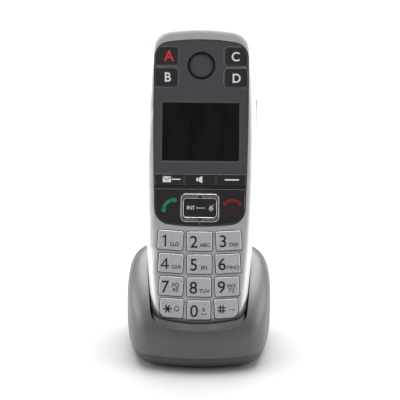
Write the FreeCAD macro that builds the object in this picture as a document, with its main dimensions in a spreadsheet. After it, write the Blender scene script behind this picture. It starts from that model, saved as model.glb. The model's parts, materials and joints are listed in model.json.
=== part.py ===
import FreeCAD, Part
import math
import os
import Sketcher
from FreeCAD import Placement, Rotation, Vector

os.makedirs("parts", exist_ok=True)
doc = FreeCAD.newDocument("CordlessPhone")

# ---------------------------------------------------------------------------
# Driving dimensions, millimetres and degrees
# ---------------------------------------------------------------------------
# The handset is drawn upright in its own axes: the face is the plane y = 0, depth runs towards
# +Y and the length along +Z from the bottom end. It is then leaned back and seated in the base.
# The base is drawn upright on the table plane z = 0.
DIMENSIONS = {
    "lean_angle": 22.0, "seat_back": 40.27, "seat_height": 15.5, "stand_back": 24.27,
    # handset outline
    "handset_top": 165.0, "handset_base": 0.0, "handset_half": 29.1, "handset_waist": 100.0,
    "handset_side_arc": 786.0, "handset_top_arc": 110.0, "handset_base_arc": 81.0,
    "handset_top_corner": 13.0, "handset_base_corner": 7.5, "handset_depth": 28.0,
    "shell_split": 12.4, "shell_base": 9.1, "chin_face": 1.8, "shell_wall": 1.0,
    "plate_wall": 3.0, "face_round": 5.0, "back_round": 7.0, "shell_step": 0.3, "hollow_step": 3.0,
    # front panel outline
    "panel_top": 156.5, "panel_base": 60.1, "panel_half": 24.3, "panel_waist": 125.0,
    "panel_side_arc": 1600.0, "panel_top_arc": 110.0, "panel_base_arc": 130.0,
    "panel_top_corner": 8.0, "panel_base_corner": 8.0, "panel_depth": 1.7, "panel_thick": 1.6,
    "fit_gap": 0.2, "fascia_base": 87.2,
    # display and speaker
    "display_centre": 108.85, "display_width": 41.4, "display_height": 31.7, "lens_thick": 1.2,
    "ring_centre": 143.2, "ring_radius": 7.05, "ring_width": 1.0, "disc_sink": 0.3,
    # keys
    "key_width": 13.05, "key_narrowing": 0.317, "key_height": 9.9, "key_pitch": 11.9,
    "key_top_row": 52.15, "key_column": 15.1, "column_narrowing": 0.3, "key_tilt": 4.0,
    "outer_key_rise": 0.45, "end_key_rise": 0.5, "key_proud": 0.6, "key_round": 0.8, "key_end_round": 3.6,
    "key_edge": 0.45, "flange_width": 0.6, "flange_height": 5.9, "flange_front": 3.1, "key_back": 3.6,
    "panel_key_proud": 0.3, "panel_key_back": 1.0, "panel_key_edge": 0.3,
    "direct_inner": 12.05, "direct_height": 9.7, "direct_upper": 148.25, "direct_lower": 137.05,
    "soft_centre": 84.1, "soft_height": 5.6, "soft_split": 8.15, "call_top": 79.2,
    "stem_width": 6.0, "stem_height": 3.6, "stem_room": 0.6,
    # navigation pad
    "nav_centre": 69.35, "nav_width": 19.9, "nav_height": 14.7, "nav_corner": 2.6,
    "nav_plate_width": 16.4, "nav_plate_height": 9.1, "nav_room": 0.35, "nav_proud": 0.6,
    "nav_sink": 0.2, "nav_post": 2.5, "nav_post_front": 1.3, "nav_post_back": 3.5,
    # inside the handset
    "mat_front": 4.3, "mat_thick": 0.9, "board_thick": 1.6, "cell_radius": 5.2, "cell_length": 44.0,
    "cell_depth": 18.6, "cell_base": 58.5, "cell_spacing": 10.8, "cover_base": 52.0,
    "cover_length": 58.0, "cover_width": 36.0, "cover_thick": 1.8, "rocker_length": 36.0,
    "rocker_height": 3.6, "rocker_centre": 109.0, "rocker_depth": 7.6,
    "screw_across": 16.0, "screw_high": 122.0, "screw_low": 32.0,
    # charging contacts
    "pad_across": 9.0, "pad_depth": 8.0, "pad_size": 6.0, "pad_face": 0.7, "pin_radius": 1.2,
    "pin_tip": 0.68, "pin_tail": -4.2, "collar_radius": 2.0, "collar_top": -2.95,
    # base
    "seam_height": 8.0, "crest_height": 51.2, "crest_turn": 72.0, "base_front": 21.0, "base_back": 49.0,
    "crest_back": 33.0, "base_half": 38.1, "belly_height": 18.0, "waist_shift": 3.0, "front_lean": 3.3, "end_bow": 0.3,
    "base_side_arc": 90.0, "base_end_arc": 88.0, "base_corner": 13.0, "base_wall": 2.2,
    "pocket_gap": 0.6, "lip_edge": 6.0, "tray_floor": 1.0, "tray_round": 6.6, "tray_wall": 3.6,
    "tray_step": 0.3, "seam_gap": 0.3, "floor_wall": 2.0,
}

sheet = doc.addObject("Spreadsheet::Sheet", "Dims")
for row, (alias, number) in enumerate(DIMENSIONS.items(), start=1):
    sheet.set("A%d" % row, alias)
    sheet.set("B%d" % row, str(number))
    sheet.setAlias("B%d" % row, alias)
doc.recompute()


def dim(alias):
    """The number in one cell of the sheet."""
    return float(sheet.get(alias))


# Where the handset's own axes stand, and where the base stands, in the part's frame.
HANDSET = Placement(Vector(0, -dim("seat_back"), dim("seat_height")),
                    Rotation(Vector(1, 0, 0), -dim("lean_angle")))
BASE = Placement(Vector(0, -dim("stand_back"), 0), Rotation())
NODES = []


def node(item, label, placement):
    """Makes an object one of the phone's pieces: its label names its file."""
    item.Label = label
    item.Placement = placement * item.Placement
    NODES.append(item)
    return item


# ---------------------------------------------------------------------------
# Sketches and features
# ---------------------------------------------------------------------------
def origin_plane(body, role):
    return next(item for item in body.Origin.OriginFeatures if item.Role == role)


def new_sketch(body, name, plane, offset=None):
    """A sketch on an origin plane. XZ sketches look along the depth, so their offset is -y."""
    sketch = body.newObject("Sketcher::SketchObject", name)
    sketch.AttachmentSupport = [(origin_plane(body, plane), "")]
    sketch.MapMode = "FlatFace"
    if offset:
        sketch.setExpression("AttachmentOffset.Base.z", offset)
    return sketch


def pad(body, sketch, name, length, towards_back=False):
    """Fills from the sketch: towards the front, or towards the back when asked."""
    feature = body.newObject("PartDesign::Pad", name)
    feature.Profile = sketch
    feature.setExpression("Length", length)
    feature.Reversed = towards_back
    sketch.Visibility = False
    doc.recompute()
    return feature


def pocket(body, sketch, name, length, towards_front=False):
    """Cuts away from the sketch: towards the back, or towards the front when asked."""
    before = body.Tip.Shape.Volume
    feature = body.newObject("PartDesign::Pocket", name)
    feature.Profile = sketch
    feature.setExpression("Length", length)
    feature.Reversed = towards_front
    sketch.Visibility = False
    doc.recompute()
    if feature.Shape.Volume > before - 0.01:
        raise RuntimeError(name + " cuts nothing")
    return feature


def round_edges(body, name, radius, test):
    """Rounds the edges of the newest feature that pass the test."""
    base = body.Tip
    picked = ["Edge%d" % (i + 1) for i, edge in enumerate(base.Shape.Edges) if test(edge)]
    feature = body.newObject("PartDesign::Fillet", name)
    feature.Base = (base, picked)
    feature.setExpression("Radius", radius)
    doc.recompute()
    return feature


def at_depth(depth):
    """A test for edges that lie wholly at one depth y."""
    def test(edge):
        box = edge.BoundBox
        return abs(box.YMin - depth) < 0.01 and abs(box.YMax - depth) < 0.01
    return test


def along_depth(edge):
    """A test for straight edges that run along the depth."""
    box = edge.BoundBox
    return box.XLength < 0.01 and box.ZLength < 0.01 and box.YLength > 0.1


def rectangle(sketch, width, height):
    """A rectangle centred on the sketch's origin, its sides bound to two cells' expressions."""
    half_w, half_h = 5.0, 4.0
    corners = [Vector(-half_w, -half_h, 0), Vector(half_w, -half_h, 0),
               Vector(half_w, half_h, 0), Vector(-half_w, half_h, 0)]
    for i in range(4):
        sketch.addGeometry(Part.LineSegment(corners[i], corners[(i + 1) % 4]))
    for i in range(4):
        sketch.addConstraint(Sketcher.Constraint("Coincident", i, 2, (i + 1) % 4, 1))
    for side, kind in enumerate(("Horizontal", "Vertical", "Horizontal", "Vertical")):
        sketch.addConstraint(Sketcher.Constraint(kind, side))
    sketch.addConstraint(Sketcher.Constraint("Symmetric", 0, 1, 1, 2, -1, 1))
    wide = sketch.addConstraint(Sketcher.Constraint("DistanceX", 0, 1, 0, 2, 2 * half_w))
    high = sketch.addConstraint(Sketcher.Constraint("DistanceY", 1, 1, 1, 2, 2 * half_h))
    sketch.renameConstraint(wide, "wide")
    sketch.renameConstraint(high, "high")
    sketch.setExpression("Constraints.wide", width)
    sketch.setExpression("Constraints.high", height)


def circle(sketch, x, z, radius):
    """A circle whose radius is bound to an expression."""
    index = sketch.addGeometry(Part.Circle(Vector(x, z, 0), Vector(0, 0, 1), 1.0))
    constraint = sketch.addConstraint(Sketcher.Constraint("Radius", index, 1.0))
    sketch.setExpression("Constraints[%d]" % constraint, radius)


def rounded_rectangle(sketch, x, z, width, height, corner, tilt=0.0):
    """A rectangle with round corners, turned about its centre by tilt degrees.

    Corner is one radius, or four: lower right, upper right, upper left, lower left.
    """
    turn = Rotation(Vector(0, 0, 1), tilt)
    centre = Vector(x, z, 0)
    corners = corner if isinstance(corner, tuple) else (corner,) * 4
    starts, ends = [], []
    for i, (sx, sz) in enumerate(((1, -1), (1, 1), (-1, 1), (-1, -1))):
        radius = corners[i]
        hub = centre + turn.multVec(Vector(sx * (width / 2 - radius), sz * (height / 2 - radius), 0))
        first = math.radians(tilt - 90 + 90 * i)
        last = first + math.pi / 2
        if radius > 0.01:
            sketch.addGeometry(Part.ArcOfCircle(Part.Circle(hub, Vector(0, 0, 1), radius), first, last))
        starts.append(hub + Vector(math.cos(first), math.sin(first), 0) * radius)
        ends.append(hub + Vector(math.cos(last), math.sin(last), 0) * radius)
    for i in range(4):
        sketch.addGeometry(Part.LineSegment(ends[i], starts[(i + 1) % 4]))


def bowed_arcs(top, base, half, waist, side_arc, top_arc, base_arc, top_corner, base_corner, grow):
    """Eight tangent arcs: bowed ends and sides with round corners, widest at the waist.

    Grow moves the whole outline outwards, keeping every arc's centre.
    """
    def corner_centre(end_centre, end_arc, corner, sign):
        # The corner's centre is (side_arc - corner) from one centre, (end_arc - corner) from the other.
        side_x, side_z = half - side_arc, waist
        near, far = side_arc - corner, end_arc - corner
        gap_x, gap_z = -side_x, end_centre - side_z
        gap = math.hypot(gap_x, gap_z)
        along = (near ** 2 - far ** 2 + gap ** 2) / (2 * gap)
        across = math.sqrt(max(near ** 2 - along ** 2, 0.0))
        x = side_x + (along * gap_x - sign * across * gap_z) / gap
        z = side_z + (along * gap_z + sign * across * gap_x) / gap
        return x, z

    top_z, base_z = top - top_arc, base + base_arc
    tx, tz = corner_centre(top_z, top_arc, top_corner, 1)
    bx, bz = corner_centre(base_z, base_arc, base_corner, -1)
    side_x = half - side_arc
    low = math.atan2(bz - waist, bx - side_x)
    high = math.atan2(tz - waist, tx - side_x)
    over = math.atan2(tz - top_z, tx)
    under = math.atan2(bz - base_z, bx)
    pi = math.pi
    spans = (
        (side_x, waist, side_arc, low, high),
        (tx, tz, top_corner, high, over),
        (0.0, top_z, top_arc, over, pi - over),
        (-tx, tz, top_corner, pi - over, pi - high),
        (-side_x, waist, side_arc, pi - high, pi - low),
        (-bx, bz, base_corner, pi - low, pi - under),
        (0.0, base_z, base_arc, pi - under, 2 * pi + under),
        (bx, bz, base_corner, under, low),
    )
    return [Part.ArcOfCircle(Part.Circle(Vector(x, z, 0), Vector(0, 0, 1), radius + grow), start, end)
            for x, z, radius, start, end in spans]


def bowed_outline(sketch, prefix, grow=0.0, base=None):
    """The outline named by a prefix in the sheet, drawn into a sketch."""
    fields = ("top", "base", "half", "waist", "side_arc", "top_arc", "base_arc",
              "top_corner", "base_corner")
    sizes = [dim(prefix + "_" + field) for field in fields]
    if base is not None:
        sizes[1] = base
    for arc in bowed_arcs(*sizes, grow):
        sketch.addGeometry(arc)


def new_body(name):
    return doc.addObject("PartDesign::Body", name)


def block(name, sizes, corner):
    """A Part::Box with its low corner at a point. Sizes along x, y and z are expressions."""
    box = doc.addObject("Part::Box", name)
    for side, size in zip(("Length", "Width", "Height"), sizes):
        box.setExpression(side, size)
    box.Placement.Base = corner
    return box


def rod(name, radius, length, start, direction):
    """A Part::Cylinder from a start point along a direction."""
    item = doc.addObject("Part::Cylinder", name)
    item.setExpression("Radius", radius)
    item.setExpression("Height", length)
    item.Placement = Placement(start, Rotation(Vector(0, 0, 1), direction))
    return item


def boolean(kind, name, base, tools):
    """Part::Cut, or a Part::MultiFuse or Part::MultiCommon of the base with all the tools."""
    if kind == "Cut":
        tool = tools[0]
        if len(tools) > 1:
            tool = doc.addObject("Part::MultiFuse", name + "_tools")
            tool.Shapes = tools
        result = doc.addObject("Part::Cut", name)
        result.Base = base
        result.Tool = tool
    else:
        result = doc.addObject("Part::Multi" + kind, name)
        result.Shapes = [base] + tools
    doc.recompute()
    return result


def soften(name, base, radius, test):
    """A Part::Fillet on the edges of a Part object that pass the test."""
    item = doc.addObject("Part::Fillet", name)
    item.Base = base
    item.Edges = [(i + 1, dim(radius), dim(radius))
                  for i, edge in enumerate(base.Shape.Edges) if test(edge)]
    doc.recompute()
    return item


# ---------------------------------------------------------------------------
# Where the keys are
# ---------------------------------------------------------------------------
KEY_NAMES = ("key_1", "key_2", "key_3", "key_4", "key_5", "key_6",
             "key_7", "key_8", "key_9", "key_star", "key_0", "key_hash")
# The keys beside the handset's round end have one larger corner: its index in a rounded rectangle.
END_CORNER = {"key_star": 3, "key_hash": 0}


def key_place(index):
    """Centre x, centre z, width and tilt of one digit key. The rows turn up at their ends."""
    row, column = divmod(index, 3)
    side = column - 1
    x = side * (dim("key_column") - dim("column_narrowing") * row)
    rise = dim("outer_key_rise") + (dim("end_key_rise") if row == 3 else 0.0)
    z = dim("key_top_row") - dim("key_pitch") * row + abs(side) * rise
    return x, z, dim("key_width") - dim("key_narrowing") * row, side * dim("key_tilt")


# Stems behind the panel keys: centre x, centre z, width, height.
PANEL_STEMS = {
    "direct_key_a": (-17.6, dim("direct_upper"), 5.0, 4.0),
    "direct_key_b": (-17.6, dim("direct_lower"), 5.0, 4.0),
    "direct_key_c": (17.6, dim("direct_upper"), 5.0, 4.0),
    "direct_key_d": (17.6, dim("direct_lower"), 5.0, 4.0),
    "soft_key_left": (-15.5, dim("soft_centre"), dim("stem_width"), 2.4),
    "soft_key_middle": (0.0, dim("soft_centre"), dim("stem_width"), 2.4),
    "soft_key_right": (15.5, dim("soft_centre"), dim("stem_width"), 2.4),
    "talk_key": (-16.4, dim("nav_centre"), dim("stem_height"), dim("stem_width")),
    "end_key": (16.4, dim("nav_centre"), dim("stem_height"), dim("stem_width")),
}
UP, BACK = Vector(0, 0, 1), Vector(0, 1, 0)


def in_handset(x, y, z, tilt=0.0):
    """A place in the handset's axes. Tilt turns a piece in the plane of the face."""
    return HANDSET * Placement(Vector(x, y, z), Rotation(Vector(0, -1, 0), tilt))


# ---------------------------------------------------------------------------
# Handset: shells
# ---------------------------------------------------------------------------
def front_shell():
    body = new_body("front_shell")
    outline = new_sketch(body, "front_outline", "XZ_Plane", "-Dims.shell_split")
    bowed_outline(outline, "handset", base=dim("shell_base"))
    pad(body, outline, "front_block", "Dims.shell_split")
    round_edges(body, "front_rounding", "Dims.face_round", at_depth(0))
    cavity = new_sketch(body, "front_cavity_outline", "XZ_Plane", "-Dims.shell_split")
    bowed_outline(cavity, "handset", grow=-dim("shell_wall"), base=dim("shell_base"))
    pocket(body, cavity, "front_cavity", "Dims.shell_split - Dims.plate_wall", towards_front=True)
    recess = new_sketch(body, "panel_recess_outline", "XZ_Plane")
    bowed_outline(recess, "panel")
    pocket(body, recess, "panel_recess", "Dims.panel_depth")
    windows = new_sketch(body, "window_outlines", "XZ_Plane")
    room = 2 * dim("fit_gap")
    for index, name in enumerate(KEY_NAMES):
        x, z, width, tilt = key_place(index)
        corners = [dim("key_round") + dim("fit_gap")] * 4
        if name in END_CORNER:
            corners[END_CORNER[name]] = dim("key_end_round") + dim("fit_gap")
        rounded_rectangle(windows, x, z, width + room, dim("key_height") + room, tuple(corners), tilt)
    for x, z, width, height in PANEL_STEMS.values():
        rounded_rectangle(windows, x, z, width + dim("stem_room"), height + dim("stem_room"), 0.6)
    rounded_rectangle(windows, 0, dim("display_centre"), dim("display_width") - 1.0,
                      dim("display_height") - 1.0, 0.8)
    rounded_rectangle(windows, 0, dim("nav_centre"), dim("nav_width") + 2 * dim("nav_room"),
                      dim("nav_height") + 2 * dim("nav_room"), dim("nav_corner"))
    rounded_rectangle(windows, 0, dim("ring_centre"), 7.0, 2.4, 1.0)
    pocket(body, windows, "windows", "Dims.plate_wall + 0.1")
    slot = new_sketch(body, "rocker_slot_outline", "YZ_Plane", "Dims.handset_half + 2")
    rounded_rectangle(slot, dim("rocker_depth"), dim("rocker_centre"), dim("rocker_height") + 1.0,
                      dim("rocker_length") + 1.4, 1.0)
    pocket(body, slot, "rocker_slot", "8")
    return node(body, "front_shell", HANDSET)


def back_shell():
    body = new_body("back_shell")
    grow = -dim("shell_step")
    depth = dim("handset_depth")
    outline = new_sketch(body, "back_outline", "XZ_Plane", "-Dims.handset_depth")
    bowed_outline(outline, "handset", grow=grow)
    pad(body, outline, "back_block", "Dims.handset_depth - Dims.chin_face")
    round_edges(body, "back_rounding", "Dims.back_round", at_depth(depth))
    round_edges(body, "chin_rounding", "1.6", at_depth(dim("chin_face")))
    nest = new_sketch(body, "nest_outline", "XZ_Plane")
    bowed_outline(nest, "handset", grow=0.15, base=dim("shell_base"))
    pocket(body, nest, "nest", "Dims.shell_split")
    # The hollow is stepped, so that the wall stays even round the back's rounded edges.
    side = new_sketch(body, "side_hollow_outline", "XZ_Plane", "-Dims.handset_depth + Dims.back_round")
    bowed_outline(side, "handset", grow=grow - dim("shell_wall"))
    pocket(body, side, "side_hollow", "Dims.handset_depth - Dims.back_round - Dims.shell_split",
           towards_front=True)
    floor = new_sketch(body, "floor_hollow_outline", "XZ_Plane", "-Dims.handset_depth + Dims.shell_wall")
    bowed_outline(floor, "handset", grow=grow - dim("shell_wall") - dim("hollow_step"))
    pocket(body, floor, "floor_hollow", "Dims.back_round - Dims.shell_wall + 0.1", towards_front=True)
    posts = new_sketch(body, "post_outlines", "XZ_Plane", "-Dims.handset_depth + Dims.shell_wall")
    holes = new_sketch(body, "screw_hole_outlines", "XZ_Plane", "-Dims.handset_depth")
    seats = new_sketch(body, "screw_seat_outlines", "XZ_Plane", "-Dims.handset_depth")
    for x in (-dim("screw_across"), dim("screw_across")):
        for z in (dim("screw_low"), dim("screw_high")):
            circle(posts, x, z, "3")
            circle(holes, x, z, "1.25")
            circle(seats, x, z, "2.3")
    pad(body, posts, "screw_posts", "Dims.handset_depth - Dims.shell_wall - Dims.shell_split")
    pocket(body, holes, "screw_holes", "12", towards_front=True)
    pocket(body, seats, "screw_seats", "1.5", towards_front=True)
    bay = new_sketch(body, "bay_outline", "XZ_Plane", "-Dims.handset_depth")
    rounded_rectangle(bay, 0, dim("cover_base") + dim("cover_length") / 2, dim("cover_width") + 0.6,
                      dim("cover_length") + 0.6, 2.8)
    pocket(body, bay, "cell_bay", "Dims.cover_thick + 0.1", towards_front=True)
    slots = new_sketch(body, "speaker_slot_outlines", "XZ_Plane", "-Dims.handset_depth")
    for row in range(4):
        rounded_rectangle(slots, 0, 130.0 + 3.2 * row, 13.0, 1.2, 0.55)
    pocket(body, slots, "speaker_slots", "Dims.shell_wall + 0.1", towards_front=True)
    pads = new_sketch(body, "pad_hole_outlines", "XY_Plane", "-1")
    for x in (-dim("pad_across"), dim("pad_across")):
        rounded_rectangle(pads, x, dim("pad_depth"), dim("pad_size"), dim("pad_size"), 0.0)
    pocket(body, pads, "pad_holes", "3", towards_front=True)
    return node(body, "back_shell", HANDSET)


def fascia():
    body = new_body("front_fascia")
    outline = new_sketch(body, "fascia_outline", "XZ_Plane", "-Dims.panel_thick")
    bowed_outline(outline, "panel", grow=-dim("fit_gap"))
    pad(body, outline, "fascia_plate", "Dims.panel_thick")
    cuts = new_sketch(body, "fascia_cut_outlines", "XZ_Plane")
    low = dim("fascia_base")
    rounded_rectangle(cuts, 0, low / 2, 2 * dim("handset_half"), low, 0.0)
    room = 2 * dim("fit_gap")
    reach = 20.0
    for side in (-1, 1):
        for z in (dim("direct_upper"), dim("direct_lower")):
            rounded_rectangle(cuts, side * (dim("direct_inner") - dim("fit_gap") + reach / 2), z, reach,
                              dim("direct_height") + room, 2.2)
    rounded_rectangle(cuts, 0, dim("display_centre"), dim("display_width"), dim("display_height"), 0.3)
    circle(cuts, 0, dim("ring_centre"), "Dims.ring_radius + 0.1")
    pocket(body, cuts, "fascia_cuts", "Dims.panel_thick + 0.5")
    return node(body, "front_fascia", HANDSET)


def plate(name, width, height, thickness, placement):
    """A flat rectangular piece: its back face is on its own plane y = 0."""
    body = new_body(name)
    sketch = new_sketch(body, name + "_outline", "XZ_Plane")
    rectangle(sketch, width, height)
    pad(body, sketch, name + "_plate", thickness)
    return node(body, name, placement)


def speaker_ring():
    body = new_body("speaker_ring")
    sketch = new_sketch(body, "ring_outline", "XZ_Plane")
    circle(sketch, 0, 0, "Dims.ring_radius")
    circle(sketch, 0, 0, "Dims.ring_radius - Dims.ring_width")
    pad(body, sketch, "ring_band", "Dims.panel_thick + 0.1")
    node(body, "speaker_ring", in_handset(0, dim("panel_thick"), dim("ring_centre")))
    disc = new_body("speaker_disc")
    sketch = new_sketch(disc, "disc_outline", "XZ_Plane")
    circle(sketch, 0, 0, "Dims.ring_radius - Dims.ring_width")
    pad(disc, sketch, "disc_plate", "Dims.panel_thick - Dims.disc_sink")
    node(disc, "speaker_disc", in_handset(0, dim("panel_thick"), dim("ring_centre")))


# ---------------------------------------------------------------------------
# Handset: keys
# ---------------------------------------------------------------------------
def digit_key(index):
    """A cap that stands through its window, with a tab on each side that keeps it in."""
    name = KEY_NAMES[index]
    x, z, width, tilt = key_place(index)
    narrowing = "Dims.key_width - Dims.key_narrowing * %d" % (index // 3)
    body = new_body(name)
    face = new_sketch(body, name + "_face", "XZ_Plane")
    rectangle(face, narrowing, "Dims.key_height")
    pad(body, face, name + "_cap", "Dims.flange_front + Dims.key_proud")
    sides = ((1, -1), (1, 1), (-1, 1), (-1, -1))
    half_w, half_h = width / 2, dim("key_height") / 2

    def corner_index(edge):
        centre = edge.BoundBox.Center
        for corner, (sx, sz) in enumerate(sides):
            if abs(centre.x - sx * half_w) < 0.05 and abs(centre.z - sz * half_h) < 0.05:
                return corner
        return None

    large = END_CORNER.get(name)
    if large is not None:
        round_edges(body, name + "_end_corner", "Dims.key_end_round",
                    lambda edge: along_depth(edge) and corner_index(edge) == large)
    round_edges(body, name + "_corners", "Dims.key_round",
                lambda edge: along_depth(edge) and corner_index(edge) not in (None, large))
    round_edges(body, name + "_edge", "Dims.key_edge", at_depth(-dim("flange_front") - dim("key_proud")))
    rim = new_sketch(body, name + "_rim", "XZ_Plane")
    rectangle(rim, narrowing + " + 2 * Dims.flange_width", "Dims.flange_height")
    pad(body, rim, name + "_flange", "Dims.key_back - Dims.flange_front", towards_back=True)
    return node(body, name, in_handset(x, dim("flange_front"), z, tilt))


def panel_blank(name):
    """The full outline of the panel's keys, as thick as their caps."""
    body = new_body(name + "_blank")
    sketch = new_sketch(body, name + "_blank_outline", "XZ_Plane", "-Dims.panel_key_back")
    bowed_outline(sketch, "panel", grow=-dim("fit_gap"))
    pad(body, sketch, name + "_blank_plate", "Dims.panel_key_back + Dims.panel_key_proud")
    return body


def panel_key(name, x, z, cutter=None):
    """A key of the black panel: the panel's outline within an x and z range, on a stem."""
    front = -dim("panel_key_proud") - 1
    bounds = new_body(name + "_bounds")
    sketch = new_sketch(bounds, name + "_bounds_outline", "XZ_Plane", "-Dims.panel_key_back")
    corner = 2.0 if name.startswith("direct") else 0.4
    rounded_rectangle(sketch, sum(x) / 2, sum(z) / 2, x[1] - x[0], z[1] - z[0], corner)
    pad(bounds, sketch, name + "_bounds_block", "Dims.panel_key_back - (%g)" % front)
    cap = boolean("Common", name + "_cap", panel_blank(name), [bounds])
    if cutter:
        cap = boolean("Cut", name + "_ringed", cap, [cutter])
    cap = soften(name + "_soft", cap, "panel_key_edge", at_depth(-dim("panel_key_proud")))
    sx, sz, width, height = PANEL_STEMS[name]
    stem = block(name + "_stem", ("%g" % width, "Dims.key_back - Dims.panel_key_back", "%g" % height),
                 Vector(sx - width / 2, dim("panel_key_back"), sz - height / 2))
    return node(boolean("Fuse", name, cap, [stem]), name, HANDSET)


def panel_keys():
    gap = dim("fit_gap")
    inner, half_height = dim("direct_inner"), dim("direct_height") / 2
    reach = dim("panel_half") + 4
    for name, side, centre in (("direct_key_a", -1, "direct_upper"), ("direct_key_b", -1, "direct_lower"),
                               ("direct_key_c", 1, "direct_upper"), ("direct_key_d", 1, "direct_lower")):
        span = sorted((side * inner, side * reach))
        panel_key(name, span, (dim(centre) - half_height, dim(centre) + half_height))
    low = dim("soft_centre") - dim("soft_height") / 2
    row = (low, low + dim("soft_height"))
    split = dim("soft_split")
    panel_key("soft_key_left", (-reach, -split - gap), row)
    panel_key("soft_key_middle", (-split + gap, split - gap), row)
    panel_key("soft_key_right", (split + gap, reach), row)
    cutter = new_body("nav_cutter")
    sketch = new_sketch(cutter, "nav_cutter_outline", "XZ_Plane", "-5")
    rounded_rectangle(sketch, 0, dim("nav_centre"), dim("nav_width") + 2 * dim("nav_room"),
                      dim("nav_height") + 2 * dim("nav_room"), dim("nav_corner") + dim("nav_room"))
    pad(cutter, sketch, "nav_cutter_block", "10")
    block_z = (dim("panel_base") - 2, dim("call_top"))
    panel_key("talk_key", (-reach, -gap), block_z, cutter)
    panel_key("end_key", (gap, reach), block_z, cutter)


def navigation_pad():
    ring = new_body("nav_ring")
    sketch = new_sketch(ring, "nav_ring_outline", "XZ_Plane")
    rounded_rectangle(sketch, 0, 0, dim("nav_width"), dim("nav_height"), dim("nav_corner"))
    pad(ring, sketch, "nav_ring_block", "Dims.panel_key_back + Dims.nav_proud")
    hole = new_sketch(ring, "nav_ring_hole", "XZ_Plane")
    rounded_rectangle(hole, 0, 0, dim("nav_plate_width") + 2 * dim("nav_sink"),
                      dim("nav_plate_height") + 2 * dim("nav_sink"), 1.4)
    pocket(ring, hole, "nav_ring_opening", "5", towards_front=True)
    round_edges(ring, "nav_ring_rounding", "0.4", at_depth(-dim("panel_key_back") - dim("nav_proud")))
    place = in_handset(0, dim("panel_key_back"), dim("nav_centre"))
    node(ring, "nav_ring", place)
    inner = new_body("nav_plate")
    sketch = new_sketch(inner, "nav_plate_outline", "XZ_Plane")
    rounded_rectangle(sketch, 0, 0, dim("nav_plate_width") - 0.1, dim("nav_plate_height") - 0.1, 1.2)
    pad(inner, sketch, "nav_plate_block", "Dims.panel_key_back + Dims.nav_proud - Dims.nav_sink")
    node(inner, "nav_plate", place)
    post = rod("nav_post", "Dims.nav_post", "Dims.nav_post_back - Dims.nav_post_front", Vector(), BACK)
    node(post, "nav_post", in_handset(0, dim("nav_post_front"), dim("nav_centre")))


def volume_rocker():
    height, length = dim("rocker_height"), dim("rocker_length")
    thick = 2.4
    bar = block("rocker_bar", ("%g" % thick, "Dims.rocker_height", "Dims.rocker_length"),
                Vector(-thick / 2, -height / 2, -length / 2))
    doc.recompute()
    bar = soften("rocker_soft", bar, "key_round", lambda edge: True)
    node(bar, "volume_rocker", in_handset(dim("handset_half") - 0.7, dim("rocker_depth"),
                                          dim("rocker_centre")))


# ---------------------------------------------------------------------------
# Handset: inside
# ---------------------------------------------------------------------------
def electronics():
    board_front = dim("mat_front") + dim("mat_thick")
    board_back = board_front + dim("board_thick")
    plate("keypad_mat", "40", "73", "Dims.mat_thick", in_handset(0, board_front, 50.5))
    plate("main_board", "41", "134", "Dims.board_thick", in_handset(0, board_back, 82))
    plate("display_lens", "Dims.display_width - 0.3", "Dims.display_height - 0.3",
          "Dims.lens_thick", in_handset(0, 0.25 + dim("lens_thick"), dim("display_centre")))
    plate("lcd_module", "Dims.display_width - 1.6", "Dims.display_height - 1.6", "3.6",
          in_handset(0, board_front - 0.05, dim("display_centre")))
    plate("handset_antenna", "26", "5", "0.8", in_handset(0, 12, 156))
    for name, radius, length, place in (
            ("earpiece_speaker", "7.5", "2.1", in_handset(0, dim("plate_wall"), dim("ring_centre"))),
            ("loudspeaker", "9.5", "4", in_handset(0, 21.5, 134.8)),
            ("microphone", "3", "2.2", in_handset(0, board_back, 18))):
        node(rod(name, radius, length, Vector(), BACK), name, place)


def cell(name, x):
    """A AAA cell: a can with a narrower button at its top, turned about its own axis."""
    body = new_body(name)
    sketch = new_sketch(body, name + "_profile", "XZ_Plane")
    radius, length, button, top = dim("cell_radius"), dim("cell_length"), 1.9, 0.8
    points = [Vector(0, 0, 0), Vector(radius, 0, 0), Vector(radius, length - top, 0),
              Vector(button, length - top, 0), Vector(button, length, 0), Vector(0, length, 0)]
    for i in range(len(points)):
        sketch.addGeometry(Part.LineSegment(points[i], points[(i + 1) % len(points)]))
    turned = body.newObject("PartDesign::Revolution", name + "_can")
    turned.Profile = sketch
    turned.ReferenceAxis = (sketch, ["V_Axis"])
    turned.Angle = 360
    doc.recompute()
    return node(body, name, in_handset(x, dim("cell_depth"), dim("cell_base")))


def power():
    half = dim("cell_spacing") / 2
    cell("battery_left", -half)
    cell("battery_right", half)
    low, length = dim("cell_base"), dim("cell_length")
    wall, room = 1.2, 1.6
    front = dim("cell_depth") - dim("cell_radius") - 0.2
    tray_x = 2 * (half + dim("cell_radius") + 0.3 + wall)
    outer = block("tray_block", ("%g" % tray_x, "11.5", "%g" % (length + 2 * (wall + room))),
                  Vector(-tray_x / 2, front - wall, low - wall - room))
    inner = block("tray_hollow", ("%g" % (tray_x - 2 * wall), "14", "%g" % (length + 2 * room)),
                  Vector(-tray_x / 2 + wall, front, low - room))
    node(boolean("Cut", "battery_tray", outer, [inner]), "battery_tray", HANDSET)
    contacts = []
    for end, z in (("low", low - room), ("high", low + length)):
        for side in (-1, 1):
            contacts.append(block("contact_%s_%d" % (end, side + 1), ("7", "7", "%g" % room),
                                  Vector(side * half - 3.5, dim("cell_depth") - 3.5, z)))
    node(boolean("Fuse", "battery_contacts", contacts[0], contacts[1:]), "battery_contacts", HANDSET)
    pads = [block("charge_pad_%d" % (side + 1), ("Dims.pad_size", "Dims.pad_size", "1.3"),
                  Vector(side * dim("pad_across") - dim("pad_size") / 2,
                         dim("pad_depth") - dim("pad_size") / 2, dim("pad_face"))) for side in (-1, 1)]
    node(boolean("Fuse", "charge_pads", pads[0], pads[1:]), "charge_pads", HANDSET)


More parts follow.
